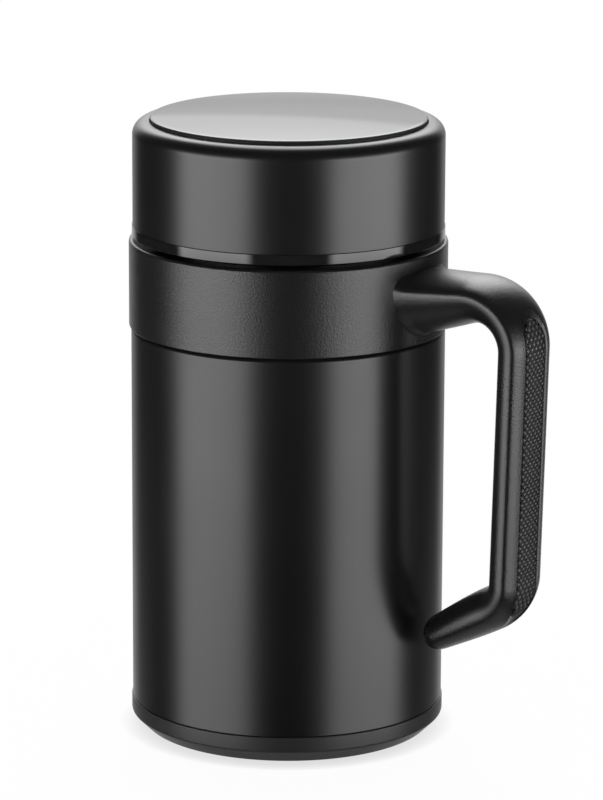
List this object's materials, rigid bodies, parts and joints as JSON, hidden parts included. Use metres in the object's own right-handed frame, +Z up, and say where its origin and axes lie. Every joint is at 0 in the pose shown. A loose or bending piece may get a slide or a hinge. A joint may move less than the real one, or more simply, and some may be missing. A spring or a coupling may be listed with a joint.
{
  "type": "travel mug",
  "caption": "Black double-walled vacuum travel mug with a collar-mounted side handle, knurled grip insert, screw-on insulated lid and rubber base.",
  "frame": {"origin": "on the mug's axis, in the plane that it stands on", "axes": "+Z up along the mug's axis, +X from the axis towards the handle"},
  "size_m": [0.1135, 0.0812, 0.16],
  "materials": {
    "body_paint": "satin black lacquer on stainless steel",
    "steel": "electropolished inside",
    "getter_alloy": "pressed metal powder, matt",
    "solder": "solder bead",
    "base_rubber": "matt, fine grain",
    "pad_rubber": "matt, non-slip",
    "collar_plastic": "charcoal, fine spark-eroded grain",
    "inlay_rubber": "soft-touch with a diamond knurl",
    "lid_paint": "satin black lacquer",
    "disc_gloss": "high gloss, slightly domed",
    "liner_gloss": "polished black",
    "silicone": "translucent white silicone",
    "foam": "cellular insulation"
  },
  "bodies": {
    "mug": {"outer_shell": "body_paint", "inner_vessel": "steel", "vacuum_base": "steel", "getter": "getter_alloy", "vent_seal": "solder", "base_cap": "base_rubber", "base_pad": "pad_rubber", "collar_handle": "collar_plastic", "grip_inlay": "inlay_rubber"},
    "lid_seal": {"lid_gasket": "silicone"},
    "lid": {"lid_shell": "lid_paint", "lid_top_disc": "disc_gloss", "lid_liner": "liner_gloss", "lid_insulation": "foam"}
  },
  "joints": [
    {"name": "lid_lift", "type": "slide", "parent": "mug", "child": "lid_seal", "axis": [0, 0, 1], "range_m": [0, 0.009]},
    {"name": "lid_turn", "type": "hinge", "parent": "lid_seal", "child": "lid", "pos_m": [0, 0, 0.14], "axis": [0, 0, 1], "range_deg": [0, 810]}
  ],
  "couplings": [
    {"joint": "lid_lift", "follows": "lid_turn", "m_per_rad": 0.0006366}
  ]
}
